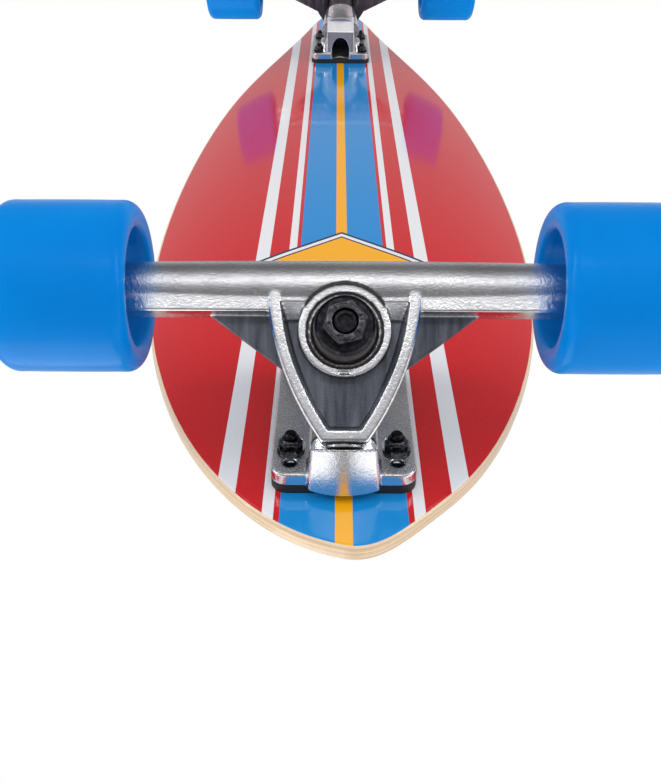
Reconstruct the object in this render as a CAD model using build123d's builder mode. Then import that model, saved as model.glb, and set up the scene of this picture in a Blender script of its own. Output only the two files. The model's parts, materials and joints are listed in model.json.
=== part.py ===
from build123d import *
import math
import os

os.makedirs("parts", exist_ok=True)

# A pintail longboard skateboard, standing on its four wheels. Millimetres, +Z up, the ground at Z = 0.
# The board runs along Y with its nose towards -Y. The origin is on the ground under the middle.

# ---- Driving dimensions ----------------------------------------------------------------------------
DECK_LENGTH = 911.0
DECK_HALF_WIDTH = 114.0
DECK_THICK = 7.2
DECK_FLAT_HALF = 28.0
DECK_CONCAVE_RADIUS = 280.0
DECK_EDGE_ROUND = 2.0
GRIP_THICK = 0.8
GRIP_INSET = 4.4
NOSE_OVERHANG = 72.5
AXLE_DISTANCE = 626.0

WHEEL_RADIUS = 32.5
WHEEL_WIDTH = 51.0
WHEEL_LIP_ROUND = 5.5
WHEEL_MOUTH_RADIUS = 22.4
WHEEL_HUB_RADIUS = 18.5

BEARING_BORE_RADIUS = 4.0
BEARING_RADIUS = 11.0
BEARING_WIDTH = 7.0
SPACER_LENGTH = 10.0
BALL_COUNT = 7
BALL_RADIUS = 1.85
BALL_CIRCLE_RADIUS = 7.8
INNER_RACE_RADIUS = 6.1
OUTER_RACE_BORE_RADIUS = 9.5

AXLE_DROP = 65.0
AXLE_RADIUS = 3.97
AXLE_HALF_LENGTH = 124.5
AXLE_NUT_FLATS = 12.7
AXLE_NUT_HEIGHT = 7.2
SPEED_WASHER_RADIUS = 5.8
SPEED_WASHER_THICK = 1.0

HANGER_HALF_LENGTH = 90.0
HANGER_END_RADIUS = 9.3
HANGER_MIDDLE_RADIUS = 10.2
PIVOT_ANGLE = 50.0
AXLE_RAKE = 1.0
RING_OFFSET = 17.5
RING_RADIUS = 17.4
RING_HALF_THICK = 8.0
SEAT_RADIUS = 12.5
SEAT_DEPTH = 4.0
RING_HOLE_RADIUS = 8.0
NOSE_NECK_RADIUS = 6.8
NOSE_RADIUS = 5.4

BUSHING_RADIUS = 12.0
CONE_TOP_RADIUS = 10.6
ROADSIDE_BUSHING = 14.0
BOARDSIDE_BUSHING = 13.0
BUSHING_LIP_RADIUS = 7.7
BUSHING_LIP = 3.2
CUP_WASHER_RADIUS = 11.0
CUP_WASHER_THICK = 2.5

KINGPIN_RADIUS = 4.7
KINGPIN_FLATS = 13.0
KINGPIN_HEAD = 6.0
KINGPIN_NUT_FLATS = 14.3
KINGPIN_NUT_HEIGHT = 8.5
KINGPIN_SEAT_WALL = 14.0

PLATE_WIDTH = 56.0
PLATE_OUTER_END = 44.0
PLATE_INNER_END = 40.0
PLATE_CORNER = 6.5
PLATE_THICK = 5.6
RISER_THICK = 3.5

BOLT_SPACING_X = 41.3
BOLT_SPACING_Y = 54.0
SPARE_HOLE_Y = 36.5
BOLT_RADIUS = 2.4
BOLT_HOLE_RADIUS = 2.65
BOLT_HEAD_RADIUS = 4.6
BOLT_HEAD_RIM = 0.4
NUT_FLATS = 8.0
NUT_HEIGHT = 6.6
NUT_POCKET_DEPTH = 2.0

# ---- Worked out from them --------------------------------------------------------------------------
UNDERSIDE_Z = WHEEL_RADIUS + AXLE_DROP
DECK_TOP_Z = UNDERSIDE_Z + DECK_THICK
NOSE_Y = -DECK_LENGTH / 2
FRONT_AXLE_Y = NOSE_Y + NOSE_OVERHANG
REAR_AXLE_Y = FRONT_AXLE_Y + AXLE_DISTANCE
BEARING_OUTER_FACE = SPACER_LENGTH / 2 + BEARING_WIDTH
WHEEL_CENTRE_X = HANGER_HALF_LENGTH + SPEED_WASHER_THICK + BEARING_OUTER_FACE

# A truck is drawn in its own frame: the deck's underside is Z = 0 under the axle, +Z points away from
# the deck and +Y towards the middle of the board. Each truck is then turned over onto its end.
TRUCKS = {
    "front": Location((0, FRONT_AXLE_Y, UNDERSIDE_Z), (0, 180, 0)),
    "rear": Location((0, REAR_AXLE_Y, UNDERSIDE_Z), (180, 0, 0)),
}
BOLT_POINTS = [
    (sx * BOLT_SPACING_X / 2, sy * BOLT_SPACING_Y / 2) for sx in (-1, 1) for sy in (-1, 1)
]

# The hanger turns about the pivot line, which rises from the plate's outer end towards the middle of
# the board. The kingpin stands square to that line.
TILT = math.radians(PIVOT_ANGLE)
PIVOT_DIR = Vector(0, math.cos(TILT), math.sin(TILT))
KINGPIN_DIR = Vector(0, -math.sin(TILT), math.cos(TILT))
AXLE_CENTRE = Vector(0, 0, AXLE_DROP)
HANGER_ORIGIN = AXLE_CENTRE - KINGPIN_DIR * AXLE_RAKE
RING_CENTRE = HANGER_ORIGIN - PIVOT_DIR * RING_OFFSET
CUP_FACE_OFFSET = 61.9
CUP_CENTRE = HANGER_ORIGIN - PIVOT_DIR * CUP_FACE_OFFSET
KINGPIN_SEAT = SEAT_DEPTH + BOARDSIDE_BUSHING + CUP_WASHER_THICK
PLATE_TOP_Z = RISER_THICK + PLATE_THICK


def hanger_plane(height=0.0):
    """The plane of the hanger's V, in which x is across the board and y runs along the pivot line."""
    return Plane(HANGER_ORIGIN + KINGPIN_DIR * height, x_dir=(1, 0, 0), z_dir=KINGPIN_DIR)


def kingpin_plane(height=0.0):
    """A plane square to the kingpin, its origin on the kingpin's axis, height from the ring's middle."""
    return Plane(RING_CENTRE + KINGPIN_DIR * height, x_dir=(1, 0, 0), z_dir=KINGPIN_DIR)


def cup_plane(height=0.0):
    """A plane square to the pivot line, its origin on that line, height from the cup's face."""
    return Plane(CUP_CENTRE + PIVOT_DIR * height, x_dir=(1, 0, 0), z_dir=PIVOT_DIR)


def across_plane(x=0.0):
    """A plane square to the axle, at x across the board, for round pieces on the axle."""
    return Plane(origin=(x, 0, AXLE_DROP), x_dir=(0, 1, 0), z_dir=(1, 0, 0))


def radial_plane(base):
    """The plane through base's normal: x is out from the axis and y is along it, for revolving."""
    return Plane(base.origin, x_dir=base.x_dir, z_dir=-base.y_dir)


def hexagon_radius(flats):
    """Corner radius of a hexagon measured across its flats."""
    return flats / math.sqrt(3)


# ---- Deck and grip tape ----------------------------------------------------------------------------
# Half outline: distance back from the nose, and half width there as a share of the greatest one.
OUTLINE = [
    (0, 0),
    (15, 0.256),
    (38, 0.438),
    (56, 0.538),
    (95, 0.694),
    (172, 0.885),
    (316, 1.0),
    (466, 0.935),
    (563, 0.81),
    (671, 0.58),
    (790, 0.33),
    (885, 0.128),
    (911, 0),
]


def deck_outline(inset=0.0):
    """The board's plan view as one closed curve, or the same curve drawn in by inset."""
    half_width = DECK_HALF_WIDTH - inset
    shrink = 1 - 2 * inset / DECK_LENGTH
    side = [(half_width * share, shrink * (NOSE_Y + back)) for back, share in OUTLINE]
    other_side = [(-x, y) for x, y in side[-2:0:-1]]
    with BuildLine() as outline:
        Spline(*side, *other_side, periodic=True)
    return outline.edges()


def deck_section(bottom, top):
    """The edges of the concave cross-section between two heights above the underside."""
    reach = math.radians(24)
    low, high = DECK_CONCAVE_RADIUS - bottom, DECK_CONCAVE_RADIUS - top
    centre_z = UNDERSIDE_Z + DECK_CONCAVE_RADIUS
    with BuildLine() as section:
        sides = []
        for radius in (low, high):
            start = (DECK_FLAT_HALF, centre_z - radius)
            end = (
                DECK_FLAT_HALF + radius * math.sin(reach),
                centre_z - radius * math.cos(reach),
            )
            RadiusArc(start, end, -radius)
            sides.append((start, end))
        Line(sides[0][1], sides[1][1])
        Line(sides[0][0], (0, sides[0][0][1]))
        Line(sides[1][0], (0, sides[1][0][1]))
        mirror(about=Plane.YZ)
    return section.edges()


with BuildPart() as deck:
    with BuildSketch(Plane.XZ):
        make_face(deck_section(0, DECK_THICK))
    extrude(amount=DECK_LENGTH, both=True)
    with BuildSketch(Plane.XY):
        make_face(deck_outline())
    extrude(amount=2 * DECK_TOP_Z, mode=Mode.INTERSECT)
    rim = deck.faces().filter_by(lambda face: abs(face.normal_at(face.center()).Z) < 0.3)
    fillet(rim.edges().filter_by(Axis.Z, reverse=True), radius=DECK_EDGE_ROUND)
    for axle_y in (FRONT_AXLE_Y, REAR_AXLE_Y):
        with Locations(*[(x, axle_y + y, DECK_TOP_Z) for x, y in BOLT_POINTS]):
            CounterSinkHole(BOLT_HOLE_RADIUS, BOLT_HEAD_RADIUS + 0.1, depth=2 * DECK_THICK)
deck.part.label = "deck"
export_step(deck.part, "parts/deck.step")

with BuildPart() as grip_tape:
    with BuildSketch(Plane.XZ):
        make_face(deck_section(DECK_THICK, DECK_THICK + GRIP_THICK))
    extrude(amount=DECK_LENGTH, both=True)
    with BuildSketch(Plane.XY):
        make_face(deck_outline(GRIP_INSET))
    extrude(amount=2 * DECK_TOP_Z, mode=Mode.INTERSECT)
    for axle_y in (FRONT_AXLE_Y, REAR_AXLE_Y):
        with Locations(*[(x, axle_y + y, DECK_TOP_Z) for x, y in BOLT_POINTS]):
            Cylinder(BOLT_HEAD_RADIUS + 0.2, 4 * GRIP_THICK, mode=Mode.SUBTRACT)
grip_tape.part.label = "grip_tape"
export_step(grip_tape.part, "parts/grip_tape.step")

# ---- Deck bolts and nuts, in the truck's frame -----------------------------------------------------
BOLT_HEAD_Z = -DECK_THICK - GRIP_THICK
NUT_SEAT_Z = PLATE_TOP_Z - NUT_POCKET_DEPTH
BOLT_END_Z = NUT_SEAT_Z + NUT_HEIGHT + 2.4
HEX_KEY_FLATS = 3.2
HEX_KEY_DEPTH = 1.6

with BuildPart() as deck_bolt:
    with BuildSketch(Plane.XZ):
        with BuildLine():
            cone_z = BOLT_HEAD_Z + BOLT_HEAD_RIM
            Polyline(
                (0, BOLT_HEAD_Z),
                (BOLT_HEAD_RADIUS, BOLT_HEAD_Z),
                (BOLT_HEAD_RADIUS, cone_z),
                (BOLT_RADIUS, cone_z + BOLT_HEAD_RADIUS - BOLT_RADIUS),
                (BOLT_RADIUS, BOLT_END_Z - 0.5),
                (BOLT_RADIUS - 0.5, BOLT_END_Z),
                (0, BOLT_END_Z),
                close=True,
            )
        make_face()
    revolve(axis=Axis.Z)
    with BuildSketch(Plane.XY.offset(BOLT_HEAD_Z)):
        RegularPolygon(hexagon_radius(HEX_KEY_FLATS), 6)
    extrude(amount=HEX_KEY_DEPTH, mode=Mode.SUBTRACT)

with BuildPart() as deck_bolts:
    with Locations(*[(x, y, 0) for x, y in BOLT_POINTS]):
        add(deck_bolt.part)

with BuildPart() as deck_nut:
    with BuildSketch(Plane.XY.offset(NUT_SEAT_Z)):
        RegularPolygon(hexagon_radius(NUT_FLATS), 6)
    extrude(amount=NUT_HEIGHT - 1.4)
    with BuildSketch(Plane.XY.offset(NUT_SEAT_Z)):
        Circle(NUT_FLATS / 2 - 0.3)
    extrude(amount=NUT_HEIGHT)
    fillet(deck_nut.faces().sort_by(Axis.Z)[-1].edges(), radius=0.6)
    with Locations((0, 0, NUT_SEAT_Z)):
        Hole(BOLT_RADIUS + 0.02)

with BuildPart() as deck_nuts:
    with Locations(*[(x, y, 0) for x, y in BOLT_POINTS]):
        add(deck_nut.part)

# ---- Riser pad and baseplate, in the truck's frame -------------------------------------------------
PLATE_LENGTH = PLATE_OUTER_END + PLATE_INNER_END
PLATE_MIDDLE_Y = (PLATE_INNER_END - PLATE_OUTER_END) / 2
PLATE_TOP_ROUND = 0.8
SPARE_HOLES = [(sx * BOLT_SPACING_X / 2, -SPARE_HOLE_Y) for sx in (-1, 1)]

with BuildPart() as riser_pad:
    with BuildSketch():
        with Locations((0, PLATE_MIDDLE_Y)):
            RectangleRounded(PLATE_WIDTH, PLATE_LENGTH, PLATE_CORNER)
        with Locations(*BOLT_POINTS, *SPARE_HOLES):
            Circle(BOLT_HOLE_RADIUS, mode=Mode.SUBTRACT)
    extrude(amount=RISER_THICK)

# The pivot housing is a drafted round boss at the plate's outer end, spot-faced square to the pivot
# line. A raised spine joins it to the kingpin's housing.
BOSS_Y = -36.0
BOSS_BASE_RADIUS = 13.7
BOSS_TOP_RADIUS = 12.0
BOSS_HEIGHT = 23.0
SPINE_HALF_WIDTH = 13.0
SPINE_TOP_Z = 14.0
SEAT_FACE_RADIUS = 14.6
HOUSING_BASE_RADIUS = 18.5
HOUSING_CONE = 20.0
CHEEK_WIDTH = 43.0
CHEEK_LENGTH = 38.0
CHEEK_Y = 17.0
CUP_BOWL_RADIUS = 6.9
CUP_BOWL_Y = -1.5
CUP_FLANGE_RADIUS = 10.2
CUP_FLANGE_TOP = -0.1
CUP_FLANGE_BASE = -1.3
HEAD_POCKET_RADIUS = 8.6

with BuildPart() as baseplate:
    with BuildSketch(Plane.XY.offset(RISER_THICK)):
        with Locations((0, PLATE_MIDDLE_Y)):
            RectangleRounded(PLATE_WIDTH, PLATE_LENGTH, PLATE_CORNER)
    extrude(amount=PLATE_THICK)
    fillet(baseplate.faces().sort_by(Axis.Z)[-1].edges(), radius=PLATE_TOP_ROUND)
    # Pivot housing
    with Locations((0, BOSS_Y, RISER_THICK)):
        Cone(
            BOSS_BASE_RADIUS,
            BOSS_TOP_RADIUS,
            BOSS_HEIGHT,
            align=(Align.CENTER, Align.CENTER, Align.MIN),
        )
    # Spine and the block under the kingpin's housing, as one side profile
    with BuildSketch(Plane.YZ):
        with BuildLine():
            Polyline(
                (BOSS_Y, RISER_THICK),
                (BOSS_Y, SPINE_TOP_Z),
                (-9, SPINE_TOP_Z),
                (-3, 22),
                (12, 38),
                (26, 40),
                (36, 28),
                (PLATE_INNER_END - 1.5, RISER_THICK),
                close=True,
            )
        make_face()
    extrude(amount=SPINE_HALF_WIDTH, both=True)
    # Kingpin housing: a drafted boss from its seat down into the block
    with BuildSketch(kingpin_plane(-KINGPIN_SEAT)):
        Circle(SEAT_FACE_RADIUS)
    with BuildSketch(kingpin_plane(-KINGPIN_SEAT - HOUSING_CONE)):
        Circle(HOUSING_BASE_RADIUS)
    loft()
    # Cheeks beside the housing, rounded down onto the plate
    with BuildSketch(Plane.XY.offset(RISER_THICK)):
        with Locations((0, CHEEK_Y)):
            RectangleRounded(CHEEK_WIDTH, CHEEK_LENGTH, 9)
    extrude(amount=16 - RISER_THICK, taper=12)
    # The face under the hanger's nose, then the cup's counterbore and round socket
    with BuildSketch(cup_plane()):
        Circle(BOSS_BASE_RADIUS + 1.3)
    extrude(amount=30, mode=Mode.SUBTRACT)
    with BuildSketch(cup_plane()):
        Circle(CUP_FLANGE_RADIUS + 0.1)
    extrude(amount=CUP_FLANGE_BASE, mode=Mode.SUBTRACT)
    with BuildSketch(cup_plane()):
        Circle(CUP_BOWL_RADIUS + 0.1)
    extrude(amount=CUP_BOWL_Y, mode=Mode.SUBTRACT)
    with Locations(cup_plane(CUP_BOWL_Y)):
        Sphere(CUP_BOWL_RADIUS + 0.1, mode=Mode.SUBTRACT)
    # Kingpin bore, and the pocket that its head is driven in through
    with BuildSketch(kingpin_plane(-KINGPIN_SEAT)):
        Circle(KINGPIN_RADIUS + 0.1)
    extrude(amount=-KINGPIN_SEAT_WALL, mode=Mode.SUBTRACT)
    with BuildSketch(kingpin_plane(-KINGPIN_SEAT - KINGPIN_SEAT_WALL)):
        Circle(HEAD_POCKET_RADIUS)
    extrude(amount=-50, mode=Mode.SUBTRACT)
    # Nothing stands below the riser
    with BuildSketch(Plane.XY.offset(RISER_THICK)):
        Rectangle(200, 200)
    extrude(amount=-60, mode=Mode.SUBTRACT)
    # Bolt holes in sunk ovals, and the spare pair of the longer pattern
    with BuildSketch(Plane.XY.offset(NUT_SEAT_Z)):
        with Locations(*BOLT_POINTS):
            SlotOverall(14.5, 10.2, rotation=90)
    extrude(amount=12, mode=Mode.SUBTRACT)
    with Locations(*[(x, y, PLATE_TOP_Z) for x, y in BOLT_POINTS + SPARE_HOLES]):
        Hole(BOLT_HOLE_RADIUS)

with BuildPart() as pivot_cup:
    with BuildSketch(radial_plane(cup_plane())):
        with BuildLine():
            cavity = NOSE_RADIUS + 0.3
            Polyline(
                (CUP_BOWL_RADIUS, CUP_BOWL_Y),
                (CUP_BOWL_RADIUS, CUP_FLANGE_BASE),
                (CUP_FLANGE_RADIUS, CUP_FLANGE_BASE),
                (CUP_FLANGE_RADIUS, CUP_FLANGE_TOP),
                (cavity, CUP_FLANGE_TOP),
                (cavity, CUP_BOWL_Y),
            )
            RadiusArc((cavity, CUP_BOWL_Y), (0, CUP_BOWL_Y - cavity), cavity)
            Line((0, CUP_BOWL_Y - cavity), (0, CUP_BOWL_Y - CUP_BOWL_RADIUS))
            RadiusArc(
                (0, CUP_BOWL_Y - CUP_BOWL_RADIUS),
                (CUP_BOWL_RADIUS, CUP_BOWL_Y),
                -CUP_BOWL_RADIUS,
            )
        make_face()
    revolve(axis=Axis(CUP_CENTRE, PIVOT_DIR))

# ---- Hanger and axle, in the truck's frame ---------------------------------------------------------
# The V: half widths at its top, at its shoulders and at its foot; distances along the pivot line.
V_TOP = (28.7, -1.5)
V_SHOULDER = (28.5, -9)
V_FOOT = (8.6, -59.3)
V_SIDE_RADIUS = 110.0
RIB_WIDTH = 4.6
V_BACK = -6.0
V_FRONT = 10.6
POCKET_FLOOR = 1.5
POCKET_WALL_TOP = -7.1
POCKET_WALL_FOOT = -13.3
LEDGE_HALF_LENGTH = 88.0
LEDGE_LOW = -10.6
LEDGE_TOP = 9.8
WEB_SHOULDER_X = 54.0
WEB_FRONT = 0.5
MOUTH_STEP = 1.8
MOUTH_FLOOR = 6.3


def v_outline():
    """The edges of the hanger's V."""
    with BuildLine() as outline:
        Polyline((0, V_TOP[1]), V_TOP, V_SHOULDER)
        RadiusArc(V_SHOULDER, V_FOOT, V_SIDE_RADIUS)
        Line(V_FOOT, (0, V_FOOT[1]))
        mirror(about=Plane.YZ)
    return outline.edges()


with BuildPart() as hanger:
    # V plate with its ribs, and the ledge along the tube
    with BuildSketch(hanger_plane(V_BACK)):
        make_face(v_outline())
    extrude(amount=V_FRONT - V_BACK)
    chamfer(hanger.faces().sort_by(Axis(HANGER_ORIGIN, KINGPIN_DIR))[-1].edges(), length=1.0)
    with BuildSketch(hanger_plane(V_BACK)):
        with Locations((0, LEDGE_LOW / 2)):
            Rectangle(2 * LEDGE_HALF_LENGTH, -LEDGE_LOW)
    extrude(amount=LEDGE_TOP - V_BACK)
    with BuildSketch(hanger_plane(LEDGE_TOP)):
        Rectangle(2 * (V_TOP[0] - RIB_WIDTH), 4 * RIB_WIDTH)
    extrude(amount=V_FRONT - LEDGE_TOP, mode=Mode.SUBTRACT)
    # Pocket sunk between the ribs, with a sloping wall at its head
    with BuildSketch(hanger_plane(V_FRONT)):
        make_face(v_outline())
        offset(amount=-RIB_WIDTH, kind=Kind.INTERSECTION)
    extrude(amount=POCKET_FLOOR - V_FRONT, mode=Mode.SUBTRACT, taper=8)
    with BuildSketch(Plane(HANGER_ORIGIN, x_dir=PIVOT_DIR, z_dir=(1, 0, 0))):
        with BuildLine():
            Polyline(
                (0, POCKET_FLOOR - 1),
                (0, LEDGE_TOP),
                (POCKET_WALL_TOP, LEDGE_TOP),
                (POCKET_WALL_FOOT, POCKET_FLOOR),
                (POCKET_WALL_FOOT, POCKET_FLOOR - 1),
                close=True,
            )
        make_face()
    extrude(amount=V_TOP[0] - RIB_WIDTH, both=True)
    # Webs out to the tube
    with BuildSketch(hanger_plane(V_BACK)):
        with BuildLine():
            web_low = -30.6
            Polyline(
                (0, web_low),
                (24.4, web_low),
                (WEB_SHOULDER_X, -8.6),
                (WEB_SHOULDER_X + 9, 0),
                (0, 0),
            )
            mirror(about=Plane.YZ)
        make_face()
    extrude(amount=WEB_FRONT - V_BACK)
    # Tube for the axle, a little thicker in the middle
    with BuildSketch(Plane(AXLE_CENTRE, x_dir=(1, 0, 0), z_dir=(0, 0, 1))):
        with BuildLine():
            ThreePointArc(
                (-HANGER_HALF_LENGTH, HANGER_END_RADIUS),
                (0, HANGER_MIDDLE_RADIUS),
                (HANGER_HALF_LENGTH, HANGER_END_RADIUS),
            )
            Polyline(
                (HANGER_HALF_LENGTH, HANGER_END_RADIUS),
                (HANGER_HALF_LENGTH, 0),
                (-HANGER_HALF_LENGTH, 0),
                (-HANGER_HALF_LENGTH, HANGER_END_RADIUS),
            )
        make_face()
    revolve(axis=Axis(AXLE_CENTRE, (1, 0, 0)))
    # Ring for the bushings. The tube is cut away down to the ring's face, which gives them room.
    with BuildSketch(kingpin_plane(-RING_HALF_THICK)):
        Circle(RING_RADIUS)
    extrude(amount=2 * RING_HALF_THICK)
    with BuildSketch(kingpin_plane(RING_HALF_THICK)):
        Circle(RING_RADIUS + 0.2)
    extrude(amount=12, mode=Mode.SUBTRACT)
    # Stepped mouth, seats on both faces and the hole between them
    with BuildSketch(kingpin_plane(MOUTH_FLOOR)):
        Circle(SEAT_RADIUS + MOUTH_STEP)
    extrude(amount=12, mode=Mode.SUBTRACT)
    with BuildSketch(kingpin_plane(SEAT_DEPTH)):
        Circle(SEAT_RADIUS)
    extrude(amount=20, mode=Mode.SUBTRACT)
    with BuildSketch(kingpin_plane(-SEAT_DEPTH)):
        Circle(SEAT_RADIUS)
    extrude(amount=-20, mode=Mode.SUBTRACT)
    with BuildSketch(kingpin_plane(-RING_HALF_THICK)):
        Circle(RING_HOLE_RADIUS)
    extrude(amount=2 * RING_HALF_THICK, mode=Mode.SUBTRACT)
    # Small sunk mark on the ring's lower rim
    with BuildSketch(kingpin_plane(RING_HALF_THICK)):
        with Locations((0, -RING_RADIUS + 1.5)):
            SlotOverall(4.6, 1.5)
    extrude(amount=-0.8, mode=Mode.SUBTRACT)
    # Nose that turns in the pivot cup
    with BuildSketch(radial_plane(cup_plane())):
        with BuildLine():
            neck_top = CUP_FACE_OFFSET + V_FOOT[1] + 5
            tip_y = CUP_BOWL_Y - NOSE_RADIUS
            Polyline(
                (0, tip_y),
                (0, neck_top),
                (NOSE_NECK_RADIUS, neck_top),
                (NOSE_NECK_RADIUS, 0.9),
                (NOSE_RADIUS, 0.5),
                (NOSE_RADIUS, CUP_BOWL_Y),
            )
            RadiusArc((NOSE_RADIUS, CUP_BOWL_Y), (0, tip_y), NOSE_RADIUS)
        make_face()
    revolve(axis=Axis(CUP_CENTRE, PIVOT_DIR))
    # Axle bore
    with BuildSketch(across_plane(-HANGER_HALF_LENGTH)):
        Circle(AXLE_RADIUS + 0.02)
    extrude(amount=2 * HANGER_HALF_LENGTH, mode=Mode.SUBTRACT)

with BuildPart() as axle:
    with BuildSketch(across_plane(-AXLE_HALF_LENGTH)):
        Circle(AXLE_RADIUS)
    extrude(amount=2 * AXLE_HALF_LENGTH)
    chamfer(axle.edges(), length=0.7)

with BuildPart() as speed_washers:
    inner_x = HANGER_HALF_LENGTH
    outer_x = WHEEL_CENTRE_X + BEARING_OUTER_FACE
    for start_x in (inner_x, outer_x):
        for side in (-1, 1):
            with BuildSketch(across_plane(side * (start_x + SPEED_WASHER_THICK / 2))):
                Circle(SPEED_WASHER_RADIUS)
                Circle(AXLE_RADIUS + 0.05, mode=Mode.SUBTRACT)
            extrude(amount=SPEED_WASHER_THICK / 2, both=True)

NUT_START_X = WHEEL_CENTRE_X + BEARING_OUTER_FACE + SPEED_WASHER_THICK

with BuildPart() as axle_nuts:
    for side in (-1, 1):
        with BuildSketch(across_plane(side * NUT_START_X)):
            RegularPolygon(hexagon_radius(AXLE_NUT_FLATS), 6)
        extrude(amount=side * (AXLE_NUT_HEIGHT - 1.8))
        with BuildSketch(across_plane(side * NUT_START_X)):
            Circle(AXLE_NUT_FLATS / 2 - 0.5)
        extrude(amount=side * AXLE_NUT_HEIGHT)
        with BuildSketch(across_plane(side * NUT_START_X)):
            Circle(AXLE_RADIUS + 0.02)
        extrude(amount=side * AXLE_NUT_HEIGHT, mode=Mode.SUBTRACT)

# ---- Kingpin, bushings and washers, in the truck's frame -------------------------------------------
KINGPIN_AXIS = Axis(RING_CENTRE, KINGPIN_DIR)
WASHER_TOP = SEAT_DEPTH + ROADSIDE_BUSHING + CUP_WASHER_THICK
HEAD_TOP = -KINGPIN_SEAT - KINGPIN_SEAT_WALL
KINGPIN_END = WASHER_TOP + KINGPIN_NUT_HEIGHT - 1.2
BUSHING_BORE_RADIUS = KINGPIN_RADIUS + 0.15

with BuildPart() as kingpin:
    with BuildSketch(kingpin_plane(HEAD_TOP - KINGPIN_HEAD)):
        RegularPolygon(hexagon_radius(KINGPIN_FLATS), 6)
    extrude(amount=KINGPIN_HEAD)
    with BuildSketch(kingpin_plane(HEAD_TOP)):
        Circle(KINGPIN_RADIUS)
    extrude(amount=KINGPIN_END - HEAD_TOP)
    chamfer(kingpin.faces().sort_by(KINGPIN_AXIS)[-1].edges(), length=0.8)
    with BuildSketch(kingpin_plane(KINGPIN_END)):
        Circle(KINGPIN_RADIUS - 2.0)
    extrude(amount=-1.5, mode=Mode.SUBTRACT)

with BuildPart() as kingpin_nut:
    with BuildSketch(kingpin_plane(WASHER_TOP)):
        RegularPolygon(hexagon_radius(KINGPIN_NUT_FLATS), 6, rotation=14)
    extrude(amount=KINGPIN_NUT_HEIGHT - 2.4)
    with BuildSketch(kingpin_plane(WASHER_TOP)):
        Circle(KINGPIN_NUT_FLATS / 2 - 0.6)
    extrude(amount=KINGPIN_NUT_HEIGHT)
    fillet(kingpin_nut.faces().sort_by(KINGPIN_AXIS)[-1].edges(), radius=0.7)
    with BuildSketch(kingpin_plane(WASHER_TOP)):
        Circle(KINGPIN_RADIUS + 0.02)
    extrude(amount=KINGPIN_NUT_HEIGHT, mode=Mode.SUBTRACT)
    with BuildSketch(kingpin_plane(WASHER_TOP + KINGPIN_NUT_HEIGHT)):
        with PolarLocations(KINGPIN_NUT_FLATS / 2, 6, start_angle=14):
            Rectangle(4.2, 2.0)
    extrude(amount=-1.9, mode=Mode.SUBTRACT)


def cup_washer_section(base, lip):
    """The edges of a cup washer's section: flat disc at base, rim turned towards lip's sign."""
    with BuildLine() as section:
        Polyline(
            (BUSHING_BORE_RADIUS, base),
            (BUSHING_BORE_RADIUS, base + lip * 1.3),
            (CUP_WASHER_RADIUS - 2.0, base + lip * 1.3),
            (CUP_WASHER_RADIUS - 1.0, base + lip * CUP_WASHER_THICK),
            (CUP_WASHER_RADIUS, base + lip * CUP_WASHER_THICK),
            (CUP_WASHER_RADIUS, base + lip * 1.2),
            (CUP_WASHER_RADIUS - 1.2, base),
            close=True,
        )
    return section.edges()


def bushing_section(seat, far, far_radius):
    """The edges of a bushing's section, from its lip in the ring's hole to its end under the washer."""
    way = 1 if far > seat else -1
    cup_floor = far + way * (CUP_WASHER_THICK - 1.35)
    with BuildLine() as section:
        Polyline(
            (BUSHING_BORE_RADIUS, seat - way * BUSHING_LIP),
            (BUSHING_LIP_RADIUS, seat - way * BUSHING_LIP),
            (BUSHING_LIP_RADIUS, seat),
            (BUSHING_RADIUS, seat),
            (far_radius, far - way * 0.1),
            (CUP_WASHER_RADIUS - 1.1, far - way * 0.1),
            (CUP_WASHER_RADIUS - 2.1, cup_floor),
            (BUSHING_BORE_RADIUS, cup_floor),
            close=True,
        )
    return section.edges()


with BuildPart() as roadside_washer:
    with BuildSketch(radial_plane(kingpin_plane())):
        make_face(cup_washer_section(WASHER_TOP, -1))
    revolve(axis=KINGPIN_AXIS)

with BuildPart() as roadside_bushing:
    with BuildSketch(radial_plane(kingpin_plane())):
        make_face(bushing_section(SEAT_DEPTH, SEAT_DEPTH + ROADSIDE_BUSHING, CONE_TOP_RADIUS + 0.6))
    revolve(axis=KINGPIN_AXIS)

with BuildPart() as boardside_washer:
    with BuildSketch(radial_plane(kingpin_plane())):
        make_face(cup_washer_section(-KINGPIN_SEAT, 1))
    revolve(axis=KINGPIN_AXIS)

with BuildPart() as boardside_bushing:
    with BuildSketch(radial_plane(kingpin_plane())):
        make_face(
            bushing_section(-SEAT_DEPTH, -SEAT_DEPTH - BOARDSIDE_BUSHING, BUSHING_RADIUS - 0.6)
        )
    revolve(axis=KINGPIN_AXIS)

# ---- Write both trucks -----------------------------------------------------------------------------
TRUCK_PIECES = {
    "riser_pad": riser_pad,
    "baseplate": baseplate,
    "pivot_cup": pivot_cup,
    "hanger": hanger,
    "axle": axle,
    "speed_washers": speed_washers,
    "axle_nuts": axle_nuts,
    "kingpin": kingpin,
    "kingpin_nut": kingpin_nut,
    "roadside_washer": roadside_washer,
    "roadside_bushing": roadside_bushing,
    "boardside_washer": boardside_washer,
    "boardside_bushing": boardside_bushing,
    "deck_bolts": deck_bolts,
    "deck_nuts": deck_nuts,
}

for end, place in TRUCKS.items():
    for piece_name, piece in TRUCK_PIECES.items():
        with BuildPart() as placed:
            with Locations(place):
                add(piece.part)
        placed.part.label = f"{end}_{piece_name}"
        export_step(placed.part, f"parts/{placed.part.label}.step")

# ---- Wheels and bearings, each drawn about the X axis with its middle at the origin ----------------
HALF_WHEEL = WHEEL_WIDTH / 2
BEARING_MIDDLE_X = (SPACER_LENGTH + BEARING_WIDTH) / 2
RACE_HALF = BEARING_WIDTH / 2
SHIELD_THICK = 0.35
FIT = 0.02

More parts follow.
